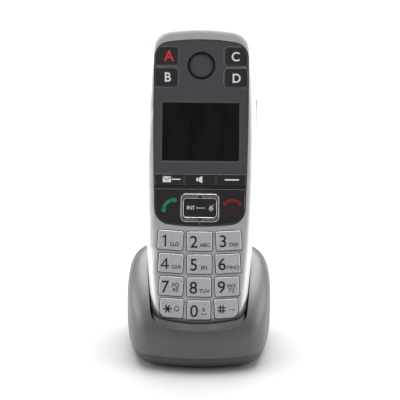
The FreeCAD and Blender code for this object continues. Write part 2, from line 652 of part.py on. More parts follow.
def battery_cover():
    body = new_body("battery_cover")
    sketch = new_sketch(body, "cover_outline", "XZ_Plane")
    rounded_rectangle(sketch, 0, 0, dim("cover_width"), dim("cover_length"), 2.5)
    pad(body, sketch, "cover_plate", "Dims.cover_thick")
    grip = new_sketch(body, "cover_grip_outline", "XZ_Plane")
    for row in range(3):
        rounded_rectangle(grip, 0, dim("cover_length") / 2 - 6 - 2.4 * row, 14, 1.0, 0.45)
    pocket(body, grip, "cover_grip", "0.5", towards_front=True)
    centre = dim("cover_base") + dim("cover_length") / 2
    node(body, "battery_cover", in_handset(0, dim("handset_depth"), centre))


def handset_screws():
    parts = []
    seat = dim("handset_depth") - 1.5
    for x in (-dim("screw_across"), dim("screw_across")):
        for z in (dim("screw_low"), dim("screw_high")):
            tag = "%d_%d" % (x, z)
            parts.append(rod("screw_head_" + tag, "2.1", "1.3", Vector(x, seat, z), BACK))
            parts.append(rod("screw_shank_" + tag, "1.1", "9.5", Vector(x, seat, z),
                             Vector(0, -1, 0)))
    node(boolean("Fuse", "handset_screws", parts[0], parts[1:]), "handset_screws", HANDSET)


# ---------------------------------------------------------------------------
# Base
# ---------------------------------------------------------------------------
def base_section(level, inset):
    """Height, front, back, half width and corner of one level section of the pebble-shaped base.

    Level runs from 0 at the seam to 1 at the crest. The front wall rises steeply and then leans
    back to the crest, the back wall curls over it, and the sides stay almost upright until near it.
    """
    rise = dim("crest_height") - inset - dim("seam_height")
    height = dim("seam_height") + rise * level
    crest = dim("crest_back")
    front = crest - (crest + dim("base_front") - inset) * (1 - level ** dim("front_lean"))
    back = crest + (dim("base_back") - inset - crest) * (1 - level ** 3)
    above = max(height - dim("belly_height"), 0) / (dim("crest_height") - inset - dim("belly_height"))
    half = (dim("base_half") - inset) * (1 - above ** 4.5) ** (1 / 4.5)
    if height < dim("belly_height"):
        half -= 0.7 * ((dim("belly_height") - height) / (dim("belly_height") - dim("seam_height"))) ** 2
    corner = min(dim("base_corner") - inset, 0.3 * (back - front))
    return height, front, back, half, corner


def base_outline(sketch, front, back, half, corner):
    """A level section: its ends bow less as it gets thinner towards the crest."""
    depth = back - front
    end_arc = max(dim("base_end_arc"), half ** 2 / (dim("end_bow") * depth))
    waist = (front + back) / 2 + dim("waist_shift") * (depth / (dim("base_front") + dim("base_back"))) ** 2
    for arc in bowed_arcs(back, front, half, waist, dim("base_side_arc"), end_arc, end_arc,
                          corner, corner, 0.0):
        sketch.addGeometry(arc)


def pebble(name, inset):
    """The rounded body of the base, as a loft through level sections from the seam to the crest."""
    body = new_body(name)
    steps = 9
    sketches = []
    for step in range(steps):
        level = math.sin(math.radians(dim("crest_turn")) * step / (steps - 1))
        height, front, back, half, corner = base_section(level, inset)
        sketch = new_sketch(body, "%s_level_%d" % (name, step), "XY_Plane", "%g" % height)
        base_outline(sketch, front, back, half, corner)
        sketches.append(sketch)
    doc.recompute()
    loft = body.newObject("PartDesign::AdditiveLoft", name + "_loft")
    loft.Profile = sketches[0]
    loft.Sections = sketches[1:]
    doc.recompute()
    return body


def handset_form(name, grow, base, front, depth, rounding):
    """The handset's outline as a block, grown by a margin: used for the pocket and its walls."""
    body = new_body(name)
    sketch = new_sketch(body, name + "_outline", "XZ_Plane", "%g" % -(front + depth))
    bowed_outline(sketch, "handset", grow=grow, base=base)
    pad(body, sketch, name + "_block", "%g" % depth)
    if rounding:
        round_edges(body, name + "_rounding", "%g" % rounding, at_depth(front + depth))
    body.Placement = BASE.inverse() * HANDSET
    return body


# Corner screws of the base: x and y in the base's own axes.
BASE_SCREWS = [(side * x, y) for side in (-1, 1) for x, y in ((28.0, -2.0), (27.0, 34.0))]
SOCKETS = {"power_inlet": -12.0, "line_socket": 12.0}


def base_upper_shell():
    outer = pebble("upper_form", 0.0)
    inner = pebble("upper_hollow_form", dim("base_wall"))
    gap, wall = dim("pocket_gap"), dim("base_wall")
    walls = handset_form("pocket_walls", gap + wall, 0.0, -gap - wall,
                         dim("handset_depth") + 2 * (gap + wall), dim("back_round") + gap + wall)
    hollow = boolean("Cut", "upper_hollow", inner, [walls])
    pocket_space = handset_form("pocket_space", gap, 0.0, -gap, dim("handset_depth") + 2 * gap,
                                dim("back_round") + gap)
    mouth = handset_form("pocket_mouth", gap, dim("lip_edge") + gap, -30.0, 31.0, 0)
    tools = [hollow, pocket_space, mouth]
    for side in (-1, 1):
        hole = rod("pin_hole_%d" % (side + 1), "Dims.pin_radius + 0.08", "10", Vector(), UP)
        hole.Placement = BASE.inverse() * HANDSET * Placement(
            Vector(side * dim("pad_across"), dim("pad_depth"), -6.0), Rotation())
        tools.append(hole)
    for name, x in SOCKETS.items():
        tools.append(block(name + "_hole", ("10.2", "14", "8.2"), Vector(x - 5.1, 39.0, 9.9)))
    shell = boolean("Cut", "upper_shell_walls", outer, tools)
    bosses = []
    for number, (x, y) in enumerate(BASE_SCREWS):
        # The rear bosses reach up to the roof, the front ones merge with the side walls.
        height = "35" if y > 0 else "10"
        bosses.append(rod("boss_%d" % number, "3.2", height, Vector(x, y, dim("seam_height")), UP))
    with_bosses = boolean("Fuse", "upper_shell_bosses", shell, bosses)
    drills = [rod("boss_drill_%d" % number, "1.35", "8", Vector(x, y, dim("seam_height") - 1), UP)
              for number, (x, y) in enumerate(BASE_SCREWS)]
    node(boolean("Cut", "base_upper_shell", with_bosses, drills), "base_upper_shell", BASE)


def base_lower_shell():
    body = new_body("base_lower_shell")
    _, front, back, half, corner = base_section(0.0, dim("tray_step"))
    top = dim("seam_height") - dim("seam_gap")
    outline = new_sketch(body, "tray_outline", "XY_Plane", "Dims.tray_floor")
    base_outline(outline, front, back, half, corner)
    pad(body, outline, "tray_block", "Dims.seam_height - Dims.seam_gap - Dims.tray_floor")
    round_edges(body, "tray_rounding", "Dims.tray_round",
                lambda edge: abs(edge.BoundBox.ZMax - dim("tray_floor")) < 0.01)
    _, front, back, half, corner = base_section(0.0, dim("tray_wall"))
    hollow = new_sketch(body, "tray_hollow_outline", "XY_Plane", "Dims.seam_height - Dims.seam_gap")
    base_outline(hollow, front, back, half, corner)
    pocket(body, hollow, "tray_hollow", "Dims.seam_height - Dims.seam_gap - Dims.tray_floor - Dims.floor_wall")
    posts = new_sketch(body, "tray_post_outlines", "XY_Plane", "Dims.tray_floor + 1")
    holes = new_sketch(body, "tray_hole_outlines", "XY_Plane", "Dims.seam_height")
    seats = new_sketch(body, "tray_seat_outlines", "XY_Plane", "Dims.tray_floor + 1.2")
    for x, y in BASE_SCREWS:
        circle(posts, x, y, "3.2")
        circle(holes, x, y, "1.6")
        circle(seats, x, y, "2.6")
    pad(body, posts, "tray_posts", "%g" % (top - dim("tray_floor") - 1))
    pocket(body, holes, "tray_holes", "20")
    pocket(body, seats, "tray_seats", "5")
    node(body, "base_lower_shell", BASE)


def base_fittings():
    screws, feet = [], []
    for number, (x, y) in enumerate(BASE_SCREWS):
        screws.append(rod("base_screw_head_%d" % number, "2.4", "0.9", Vector(x, y, 1.3), UP))
        screws.append(rod("base_screw_shank_%d" % number, "1.3", "10.5", Vector(x, y, 2.2), UP))
    node(boolean("Fuse", "base_screws", screws[0], screws[1:]), "base_screws", BASE)
    for number, (x, y) in enumerate([(side * 20.0, y) for side in (-1, 1) for y in (-7.0, 38.0)]):
        feet.append(rod("foot_%d" % number, "4.5", "Dims.tray_floor", Vector(x, y, 0), UP))
    node(boolean("Fuse", "rubber_feet", feet[0], feet[1:]), "rubber_feet", BASE)
    board = block("base_board", ("44", "24", "1.5"), Vector(-22, 17, 4.6))
    node(board, "base_board", BASE)
    ballast = block("ballast_plate", ("20", "18", "3"), Vector(-10, 23, 19.5))
    node(ballast, "ballast_plate", BASE)
    for name, x in SOCKETS.items():
        shell = block(name + "_block", ("10", "12.5", "8"), Vector(x - 5, 34.6, 10))
        cavity = block(name + "_cavity", ("7.4", "10", "5.4"), Vector(x - 3.7, 37.6, 11.3))
        node(boolean("Cut", name, shell, [cavity]), name, BASE)


def charging():
    tail, tip = dim("pin_tail"), dim("pin_tip")
    pins, springs = [], []
    for side in (-1, 1):
        x, y = side * dim("pad_across"), dim("pad_depth")
        pin = rod("pin_%d" % (side + 1), "Dims.pin_radius", "Dims.pin_tip - Dims.pin_tail",
                  Vector(x, y, tail), UP)
        doc.recompute()
        pins.append(soften("pin_round_%d" % (side + 1), pin, "key_edge",
                           lambda edge: edge.BoundBox.ZMin > tip - 0.01))
        pins.append(rod("pin_collar_%d" % (side + 1), "Dims.collar_radius", "0.6",
                        Vector(x, y, dim("collar_top") - 0.6), UP))
        # A flat leaf lies under each pin, on a foot that stands on the contact board.
        springs.append(block("leaf_%d" % (side + 1), ("3.2", "7.5", "0.25"), Vector(x - 1.6, 3.5, -5.5)))
        springs.append(block("leaf_foot_%d" % (side + 1), ("3.2", "1.5", "0.95"), Vector(x - 1.6, 9.5, -6.45)))
    doc.recompute()
    node(boolean("Fuse", "charge_pins", pins[0], pins[1:]), "charge_pins", HANDSET)
    node(boolean("Fuse", "pin_springs", springs[0], springs[1:]), "pin_springs", HANDSET)
    board = block("contact_board", ("26", "9", "1"),
                  Vector(-13, dim("pad_depth") - 5.5, -7.45))
    node(board, "contact_board", HANDSET)


front_shell()
back_shell()
fascia()
speaker_ring()
for key_index in range(len(KEY_NAMES)):
    digit_key(key_index)
panel_keys()
navigation_pad()
volume_rocker()
electronics()
power()
battery_cover()
handset_screws()
base_upper_shell()
base_lower_shell()
base_fittings()
charging()
doc.recompute()

# ---------------------------------------------------------------------------
# Check everything, then write one file for each piece
# ---------------------------------------------------------------------------
for item in doc.Objects:
    if "Invalid" in item.State or "Error" in item.State:
        raise RuntimeError("%s failed: %s" % (item.Name, item.State))
for piece in NODES:
    if piece.Shape.isNull() or not piece.Shape.isValid() or not piece.Shape.Solids:
        raise RuntimeError(piece.Label + " has no valid solid")
for piece in NODES:
    piece.Shape.exportStep("parts/%s.step" % piece.Label)
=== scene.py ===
"""A cordless phone in its charging base: finishes, key legends and small trim around the frame."""

import json
import math

import bmesh
import bpy
from mathutils import Matrix, Vector
from mathutils.bvhtree import BVHTree
from mathutils.geometry import convex_hull_2d


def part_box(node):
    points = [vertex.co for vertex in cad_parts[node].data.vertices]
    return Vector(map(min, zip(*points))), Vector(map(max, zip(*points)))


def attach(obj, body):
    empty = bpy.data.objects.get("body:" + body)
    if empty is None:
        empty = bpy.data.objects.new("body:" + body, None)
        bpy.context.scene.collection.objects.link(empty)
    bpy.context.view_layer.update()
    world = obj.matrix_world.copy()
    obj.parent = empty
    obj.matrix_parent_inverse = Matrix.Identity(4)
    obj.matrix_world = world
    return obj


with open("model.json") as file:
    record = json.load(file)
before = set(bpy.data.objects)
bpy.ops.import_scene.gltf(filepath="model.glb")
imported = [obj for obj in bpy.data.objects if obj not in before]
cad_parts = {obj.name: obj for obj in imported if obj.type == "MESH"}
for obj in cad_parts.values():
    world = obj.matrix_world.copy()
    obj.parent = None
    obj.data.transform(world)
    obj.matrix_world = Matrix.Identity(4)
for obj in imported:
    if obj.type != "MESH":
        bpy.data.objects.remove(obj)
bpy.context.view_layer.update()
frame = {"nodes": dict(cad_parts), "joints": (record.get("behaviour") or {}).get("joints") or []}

MM = 0.001
JOINTS = {joint["name"]: joint for joint in frame["joints"]}
RIGHT = Vector((1, 0, 0))
ALONG = Vector(JOINTS["handset_lift"]["axis"]).normalized()      # up the handset
INWARD = Vector(JOINTS["key_5_press"]["axis"]).normalized()      # into its face


# ---------------------------------------------------------------------------
# Places: u is to the right, v up the handset, w into its face, all in metres
# ---------------------------------------------------------------------------
def place(u, v, w):
    return RIGHT * u + ALONG * v + INWARD * w


def span(node):
    """The lowest and highest (u, v, w) of a CAD node."""
    vertices = frame["nodes"][node].data.vertices
    points = [(p.co.dot(RIGHT), p.co.dot(ALONG), p.co.dot(INWARD)) for p in vertices]
    return Vector(map(min, *points)), Vector(map(max, *points))


def middle(node):
    low, high = span(node)
    return (low + high) / 2


# ---------------------------------------------------------------------------
# Shader nodes
# ---------------------------------------------------------------------------
class Finish:
    """One material: a Principled shader, and short calls that hang procedural nodes on it."""

    def __init__(self, name, **sockets):
        self.material = bpy.data.materials.new(name)
        self.material.use_nodes = True
        self.tree = self.material.node_tree
        self.shader = self.tree.nodes["Principled BSDF"]
        for socket, value in sockets.items():
            self.shader.inputs[socket.replace("_", " ")].default_value = value
        self.where = self.node("ShaderNodeTexCoord").outputs["Object"]

    def node(self, kind, links=None, **settings):
        item = self.tree.nodes.new(kind)
        for key, value in settings.items():
            setattr(item, key, value)
        for socket, value in (links or {}).items():
            target = item.inputs[socket]
            if isinstance(value, bpy.types.NodeSocket):
                self.tree.links.new(value, target)
            else:
                target.default_value = value
        return item

    def noise(self, size, detail=3.0, stretch=None):
        """Smooth noise from 0 to 1 with lumps of about this size in metres."""
        where = self.where
        if stretch:
            where = self.node("ShaderNodeMapping", {"Vector": where, "Scale": stretch}).outputs[0]
        links = {"Vector": where, "Scale": 1 / size, "Detail": detail}
        return self.node("ShaderNodeTexNoise", links).outputs["Fac"]

    def cells(self, size):
        """A random grey for each cell of about this size in metres."""
        cells = self.node("ShaderNodeTexVoronoi", {"Vector": self.where, "Scale": 1 / size})
        return self.node("ShaderNodeSeparateColor", {"Color": cells.outputs["Color"]}).outputs[0]

    def spread(self, value, low, high, start=0.3, end=0.7):
        """Value, which runs from start to end, set between low and high."""
        return self.node("ShaderNodeMapRange", {"Value": value, "From Min": start, "From Max": end,
                                                "To Min": low, "To Max": high}).outputs[0]

    def blend(self, share, first, second):
        mix = self.node("ShaderNodeMix", data_type="RGBA")
        for socket, value in ((mix.inputs["Factor"], share), (mix.inputs[6], first), (mix.inputs[7], second)):
            if isinstance(value, bpy.types.NodeSocket):
                self.tree.links.new(value, socket)
            else:
                socket.default_value = value if isinstance(value, float) else (*value, 1.0)
        return mix.outputs[2]

    def edges(self, width):
        """1 along sharp edges, fading to 0 within this distance."""
        soft = self.node("ShaderNodeBevel", {"Radius": width}, samples=4).outputs[0]
        true = self.node("ShaderNodeNewGeometry").outputs["Normal"]
        same = self.node("ShaderNodeVectorMath", {0: soft, 1: true}, operation="DOT_PRODUCT").outputs["Value"]
        return self.spread(same, 1.0, 0.0, 0.80, 0.995)

    def feed(self, socket, value):
        self.tree.links.new(value, self.shader.inputs[socket])
        return self

    def bumps(self, *layers):
        """Raises the surface by layers of (height value, distance in metres)."""
        normal = None
        for value, distance in layers:
            links = {"Height": value, "Distance": distance, "Strength": 1.0}
            if normal:
                links["Normal"] = normal
            normal = self.node("ShaderNodeBump", links).outputs[0]
        return self.feed("Normal", normal)


FLAKE = 0.16 * MM      # the size of a lacquer's flakes
GRAIN = 0.3 * MM       # the size of a moulded surface's pebbles


def metallic_paint(name, light, dark, metal, rough, coat, worn=0.35):
    """Silver lacquer: small flakes of two greys, uneven gloss, and edges worn by this share."""
    paint = Finish(name, Metallic=metal, Coat_Weight=coat, Coat_Roughness=0.12)
    flakes = paint.spread(paint.cells(FLAKE), 0.0, 1.0, 0.0, 1.0)
    haze = paint.noise(0.006, 4)
    body = paint.blend(flakes, dark, light)
    body = paint.blend(paint.spread(haze, 0.0, 0.10), body, tuple(c * 0.86 for c in dark))
    if worn:
        edge = paint.spread(paint.edges(0.00035), 0.0, worn, 0.0, 1.0)
        body = paint.blend(edge, body, tuple(min(1, c * 1.25) for c in light))
    paint.feed("Base Color", body)
    paint.feed("Roughness", paint.spread(paint.noise(0.0011), rough - 0.05, rough + 0.06))
    return paint.bumps((paint.noise(GRAIN), 0.0000004), (paint.noise(0.006, 1.0), 0.000002)).material


def moulded_plastic(name, colour, rough, specular=0.5):
    """Spark-eroded plastic: a fine pebbled grain, faint mottling and paler rubbed edges."""
    plastic = Finish(name, Specular_IOR_Level=specular)
    pale = tuple(min(1, c * 1.6 + 0.02) for c in colour)
    body = plastic.blend(plastic.spread(plastic.noise(0.004, 4), 0.0, 1.0),
                         tuple(c * 0.92 for c in colour), tuple(c * 1.06 for c in colour))
    pits = plastic.spread(plastic.noise(GRAIN), 0.0, 0.16)
    body = plastic.blend(pits, body, tuple(c * 0.7 for c in colour))
    body = plastic.blend(plastic.spread(plastic.edges(0.0004), 0.0, 0.25, 0.0, 1.0), body, pale)
    plastic.feed("Base Color", body)
    plastic.feed("Roughness", plastic.spread(plastic.noise(GRAIN * 4), rough - 0.06, rough + 0.08))
    return plastic.bumps((plastic.noise(GRAIN), 0.00001), (plastic.noise(0.02), 0.00003)).material


def dipped_plastic(name, colour, silver, rough):
    """Charcoal plastic whose lower front end carries the front shell's silver lacquer round the chin."""
    dipped = Finish(name, Specular_IOR_Level=0.5)
    low = span("back_shell")[0]
    near = []
    for axis, edge in ((ALONG, low.y + 14 * MM), (INWARD, low.z + 9 * MM)):
        links = {0: dipped.where, 1: axis}
        along = dipped.node("ShaderNodeVectorMath", links, operation="DOT_PRODUCT").outputs["Value"]
        near.append(dipped.spread(along, 1.0, 0.0, edge, edge + 0.2 * MM))
    chin = dipped.node("ShaderNodeMath", dict(enumerate(near)), operation="MULTIPLY").outputs[0]
    plain = dipped.blend(dipped.noise(GRAIN), colour, tuple(c * 0.7 for c in colour))
    lacquer = dipped.blend(dipped.cells(FLAKE), silver, tuple(c * 0.85 for c in silver))
    dipped.feed("Base Color", dipped.blend(chin, plain, lacquer))
    dipped.feed("Metallic", dipped.spread(chin, 0.0, 0.6, 0.0, 1.0))
    dipped.feed("Roughness", dipped.spread(dipped.noise(0.0012), rough - 0.06, rough + 0.08))
    return dipped.bumps((dipped.noise(GRAIN), 0.000006), (dipped.noise(0.02), 0.00003)).material


def gloss_plastic(name, colour, rough, edge=0.3, coat=0.6):
    """Polished plastic: hair scratches in the gloss, a little dust, and a painted highlight along its edges,
    whose share is edge.
    """
    gloss = Finish(name, Coat_Weight=coat, Coat_Roughness=0.06, Specular_IOR_Level=0.5)
    hairs = gloss.noise(0.0004, 2, stretch=(0.05, 1, 1))
    dust = gloss.spread(gloss.noise(0.0005, 6), 0.0, 0.10, 0.62, 0.80)
    body = gloss.blend(dust, colour, tuple(c + 0.10 for c in colour))
    # Painted highlight: sharp edges turn towards a paler copy of the colour, by the share edge.
    rim = gloss.spread(gloss.edges(0.0003), 0.0, edge, 0.0, 1.0)
    body = gloss.blend(rim, body, tuple(c * 1.7 + 0.03 for c in colour))
    gloss.feed("Base Color", body)
    gloss.feed("Roughness", gloss.spread(hairs, rough - 0.01, rough + 0.03))
    return gloss.bumps((gloss.noise(0.003), 0.000004), (hairs, 0.0000001)).material


def printed_ink(name, colour, rough=0.45):
    """Screen-printed ink: slightly uneven cover with a soft, low sheen."""
    ink = Finish(name)
    cover = ink.noise(0.00035, 4)
    thin = tuple(c * 0.8 + 0.02 for c in colour)
    ink.feed("Base Color", ink.blend(ink.spread(cover, 0.0, 0.3), colour, thin))
    ink.feed("Roughness", ink.spread(cover, rough - 0.08, rough + 0.1))
    return ink.bumps((cover, 0.000002)).material


def bare_metal(name, colour, rough, stretch):
    """Plated metal with drawn brush lines and dull spots."""
    metal = Finish(name, Metallic=1.0)
    lines = metal.noise(0.0003, 3, stretch=stretch)
    dull = tuple(c * 0.75 for c in colour)
    metal.feed("Base Color", metal.blend(metal.spread(metal.noise(0.002), 0.0, 0.5), colour, dull))
    metal.feed("Roughness", metal.spread(lines, rough - 0.1, rough + 0.15))
    return metal.bumps((lines, 0.000002)).material


def rubber(name, colour, rough):
    soft = Finish(name, Specular_IOR_Level=0.3, Sheen_Weight=0.15, Sheen_Roughness=0.5)
    dust = soft.noise(0.0008, 5)
    dusty = tuple(c + 0.04 for c in colour)
    soft.feed("Base Color", soft.blend(soft.spread(dust, 0.0, 0.4), colour, dusty))
    soft.feed("Roughness", soft.spread(dust, rough - 0.1, rough + 0.05))
    return soft.bumps((soft.noise(GRAIN), 0.00001)).material


def circuit_board(name):
    """Solder mask over copper tracks, which stand a little proud and show paler."""
    board = Finish(name, Specular_IOR_Level=0.5)
    links = {"Vector": board.where, "Scale": 260.0, "Mortar Size": 0.05}
    track = board.node("ShaderNodeTexBrick", links).outputs["Fac"]
    mask = board.blend(board.spread(board.noise(0.003), 0.0, 1.0), (0.012, 0.10, 0.04), (0.02, 0.14, 0.06))
    covered = board.spread(track, 0.0, 0.7, 0.0, 1.0)
    board.feed("Base Color", board.blend(covered, mask, (0.06, 0.27, 0.12)))
    board.feed("Roughness", board.spread(board.noise(0.001), 0.25, 0.4))
    return board.bumps((track, 0.00002)).material


def tinted_window(name):
    """Dark smoked glass over a switched-off display: near black and glossy, with faint paler streaks up the
    window painted in as reflections.
    """
    glass = Finish(name, Coat_Weight=1.0, Coat_Roughness=0.03, IOR=1.5)
    # Painted reflection: paler streaks in the base colour, stretched to run up the window.
    reflection_streaks = glass.noise(0.012, 3, stretch=(3.0, 1.0, 0.25))
    painted_reflection_share = glass.spread(reflection_streaks, 0.0, 1.0, 0.35, 0.65)
    glass.feed("Base Color", glass.blend(painted_reflection_share, (0.0012, 0.0008, 0.0010), (0.006, 0.005, 0.006)))
    glass.feed("Roughness", glass.spread(glass.noise(0.002, 4), 0.05, 0.16))
    return glass.bumps((glass.noise(0.03), 0.00001)).material


SILVER = (0.70, 0.70, 0.71)
CHARCOAL = (0.028, 0.027, 0.030)
FINISHES = {
    "silver": metallic_paint("silver_lacquer", SILVER, (0.60, 0.60, 0.61), 0.6, 0.42, 0.25),
    "key_silver": metallic_paint("key_lacquer", (0.57, 0.58, 0.62), (0.51, 0.52, 0.56), 0.25, 0.30, 0.6,
                                 worn=0),
    "ring_silver": metallic_paint("ring_lacquer", (0.62, 0.60, 0.61), (0.54, 0.52, 0.53), 0.9, 0.22, 0.3),
    "direct_black": gloss_plastic("direct_plastic", (0.026, 0.025, 0.027), 0.28, edge=0.15),
    "trim_grey": gloss_plastic("trim_plastic", (0.13, 0.13, 0.14), 0.3),
    # Painted shade: the dark grey of the beads laid round the dial keys.
    "groove_grey": moulded_plastic("groove_plastic", (0.035, 0.034, 0.036), 0.5),
    "charcoal": moulded_plastic("charcoal_plastic", CHARCOAL, 0.42),
    "charcoal_dipped": dipped_plastic("dipped_plastic", CHARCOAL, SILVER, 0.42),
    "panel_gloss": gloss_plastic("panel_gloss_plastic", (0.068, 0.067, 0.077), 0.22),
    "panel_black": gloss_plastic("panel_black_plastic", (0.024, 0.022, 0.023), 0.25, edge=0.08),
    "ring_black": gloss_plastic("ring_plastic", (0.002, 0.002, 0.002), 0.3, edge=0.1, coat=0.2),
    "lens": tinted_window("window_glass"),
    "lcd": gloss_plastic("display_glass", (0.010, 0.009, 0.010), 0.12),
    "base_grey": moulded_plastic("base_plastic", (0.082, 0.078, 0.086), 0.42, specular=0.85),
    "base_dark": moulded_plastic("foot_plastic", (0.070, 0.068, 0.072), 0.5),
    "rubber_black": rubber("foot_rubber", (0.012, 0.012, 0.012), 0.8),
    "silicone": rubber("mat_silicone", (0.35, 0.35, 0.36), 0.6),
    "board_green": circuit_board("circuit_board"),
    "steel": bare_metal("zinc_steel", (0.55, 0.55, 0.56), 0.35, (1.0, 0.05, 1.0)),
    "gold": bare_metal("gold_plate", (0.80, 0.58, 0.22), 0.28, (1.0, 1.0, 0.05)),
    "cell_green": gloss_plastic("cell_sleeve", (0.02, 0.14, 0.05), 0.3),
    "socket_black": moulded_plastic("socket_plastic", (0.012, 0.012, 0.012), 0.5),
}
INKS = {
    "white": printed_ink("white_ink", (0.75, 0.75, 0.77)),
    "red": printed_ink("red_ink", (0.62, 0.035, 0.025)),
    "dark_red": printed_ink("dark_red_ink", (0.10, 0.012, 0.014)),
    "end_red": printed_ink("end_red_ink", (0.20, 0.008, 0.014)),
    "green": printed_ink("green_ink", (0.006, 0.24, 0.075)),
    "black": printed_ink("black_ink", (0.006, 0.006, 0.009), 0.35),
    "pale": printed_ink("pale_ink", (0.40, 0.40, 0.41)),
}


NODE_SLOTS = {name: item.data.materials[0].name.split(".")[0] for name, item in frame["nodes"].items()}


def finish_nodes():
    """Puts each CAD node's finish on it, by the slot that its packed material names."""
    special = {"nav_ring": "ring_silver", "back_shell": "charcoal_dipped"}
    special.update({"direct_key_" + letter: "direct_black" for letter in "abcd"})
    for name, item in frame["nodes"].items():
        item.data.materials[0] = FINISHES[special.get(name, NODE_SLOTS[name])]


# ---------------------------------------------------------------------------
# Flat shapes in millimetres: closed loops of (x, y)
# ---------------------------------------------------------------------------
def arc(x, y, radius, start, end, count=12):
    """Points on an arc, with angles in degrees."""
    turns = [math.radians(start + (end - start) * i / count) for i in range(count + 1)]
    return [(x + radius * math.cos(t), y + radius * math.sin(t)) for t in turns]


def ring(x, y, radius, width):
    return [arc(x, y, radius, 0, 350, 35), arc(x, y, radius - width, 0, 350, 35)]


def bar(x0, y0, x1, y1, width):
    """A straight stroke with round ends."""
    lean = math.degrees(math.atan2(y1 - y0, x1 - x0))
    far = arc(x1, y1, width / 2, lean - 90, lean + 90, 6)
    return [far + arc(x0, y0, width / 2, lean + 90, lean + 270, 6)]


def band(x, y, radius, width, start, end):
    """A stroke along an arc."""
    return [arc(x, y, radius + width / 2, start, end, 16) + arc(x, y, radius - width / 2, end, start, 16)]


def turned(loops, angle, x=0.0, y=0.0):
    """Loops turned by an angle in degrees, then moved by x and y."""
    c, s = math.cos(math.radians(angle)), math.sin(math.radians(angle))
    return [[(px * c - py * s + x, px * s + py * c + y) for px, py in loop] for loop in loops]


def rounded(width, height, corner, x=0.0, y=0.0, steps=6):
    """A rectangle with round corners, as one loop."""
    w, h = width / 2 - corner, height / 2 - corner
    points = []
    for sx, sy, start in ((1, -1, -90), (1, 1, 0), (-1, 1, 90), (-1, -1, 180)):
        points += arc(x + sx * w, y + sy * h, corner, start, start + 90, steps)
    return points


def receiver():
    """A telephone receiver from the side, lying level with its cups down: a grip and two cups."""
    cups = [turned([rounded(2.4, 2.1, 0.5)], -side * 32, side * 3.75, -0.55)[0] for side in (-1, 1)]
    return band(0, -6.2, 7.2, 1.5, 58, 122) + cups


# ---------------------------------------------------------------------------
# Meshes from flat shapes and text
# ---------------------------------------------------------------------------
INK_DEPTH = 0.02 * MM


def filled_mesh(curve):
    """The mesh of a filled curve or text, and nothing left of the curve."""
    holder = bpy.data.objects.new("outline", curve)
    bpy.context.scene.collection.objects.link(holder)
    bpy.context.view_layer.update()
    mesh = bpy.data.meshes.new_from_object(holder.evaluated_get(bpy.context.evaluated_depsgraph_get()))
    bpy.data.objects.remove(holder)
    bpy.data.curves.remove(curve)
    return mesh


def shape_mesh(loops, depth=INK_DEPTH):
    curve = bpy.data.curves.new("outline", "CURVE")
    curve.dimensions = "2D"
    curve.fill_mode = "BOTH"
    curve.extrude = depth / MM
    for loop in loops:
        spline = curve.splines.new("POLY")
        spline.points.add(len(loop) - 1)
        for point, (x, y) in zip(spline.points, loop):
            point.co = (x, y, 0, 1)
        spline.use_cyclic_u = True
    return filled_mesh(curve)


def letters_mesh(text, size, weight=0.0):
    curve = bpy.data.curves.new("text", "FONT")
    curve.body = text
    curve.size = size
    curve.offset = weight
    curve.extrude = INK_DEPTH / MM
    return filled_mesh(curve)


def text_mesh(text, height, x, y, weight=0.0, width=1.0):
    """Text centred on (x, y), with capitals of this height, all in millimetres."""
    mesh = letters_mesh(text, height / CAPITAL, weight)
    xs = [v.co.x for v in mesh.vertices]
    ys = [v.co.y for v in mesh.vertices]
    centre_x, centre_y = (min(xs) + max(xs)) / 2, (min(ys) + max(ys)) / 2
    for vertex in mesh.vertices:
        vertex.co.x = (vertex.co.x - centre_x) * width + x
        vertex.co.y = vertex.co.y - centre_y + y
    return mesh


CAPITAL = max(v.co.y for v in letters_mesh("H", 1.0).vertices)     # a capital's height at size 1


def joined(meshes):
    """One bmesh from several meshes, with their doubled points merged."""
    bm = bmesh.new()
    for mesh in meshes:
        bm.from_mesh(mesh)
        bpy.data.meshes.remove(mesh)
    bmesh.ops.remove_doubles(bm, verts=bm.verts, dist=0.0001)
    return bm


def piece(name, bm, material, body):
    """A finished object from a bmesh in the frame, riding on a body."""
    mesh = bpy.data.meshes.new(name)
    bmesh.ops.recalc_face_normals(bm, faces=bm.faces)
    bm.to_mesh(mesh)
    bm.free()
    item = bpy.data.objects.new(name, mesh)
    item.data.materials.append(material)
    bpy.context.scene.collection.objects.link(item)
    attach(item, body)
    return item


SURFACES = {}


def surface(node):
    """A search tree of a CAD node's faces, made once."""
    if node not in SURFACES:
        SURFACES[node] = BVHTree.FromObject(frame["nodes"][node], bpy.context.evaluated_depsgraph_get())
    return SURFACES[node]


def legend(name, meshes, ink, node, body, centre=None, lift=0.015 * MM):
    """Ink laid on a node's front face: the shapes are in millimetres about the centre (u, v)."""
    bm = joined(meshes)
    low, high = span(node)
    u0, v0 = centre or ((low.x + high.x) / 2, (low.y + high.y) / 2)
    for vertex in bm.verts:
        u, v = u0 + vertex.co.x * MM, v0 + vertex.co.y * MM
        start = place(u, v, low.z - 2 * MM)
        hit = surface(node).ray_cast(start, INWARD, 0.01)[0]
        front = hit.dot(INWARD) if hit else low.z
        vertex.co = place(u, v, front - lift - vertex.co.z * MM)
    return piece(name, bm, INKS[ink], body)


finish_nodes()


# ---------------------------------------------------------------------------
# Key legends
# ---------------------------------------------------------------------------
def strokes(*groups):
    return [shape_mesh([loop]) for group in groups for loop in group]


def asterisk(x, y, size, width):
    arms = []
    for angle in (0, 60, 120):
        c, s = math.cos(math.radians(angle)) * size, math.sin(math.radians(angle)) * size
        arms.append(bar(x - c, y - s, x + c, y + s, width))
    return strokes(*arms)


def hash_mark(x, y, size, width):
    gap = size * 0.42
    return strokes(bar(x - gap, y - size, x - gap * 0.8, y + size, width),
                   bar(x + gap * 0.8, y - size, x + gap, y + size, width),
                   bar(x - size, y + gap, x + size, y + gap, width),
                   bar(x - size, y - gap, x + size, y - gap, width))


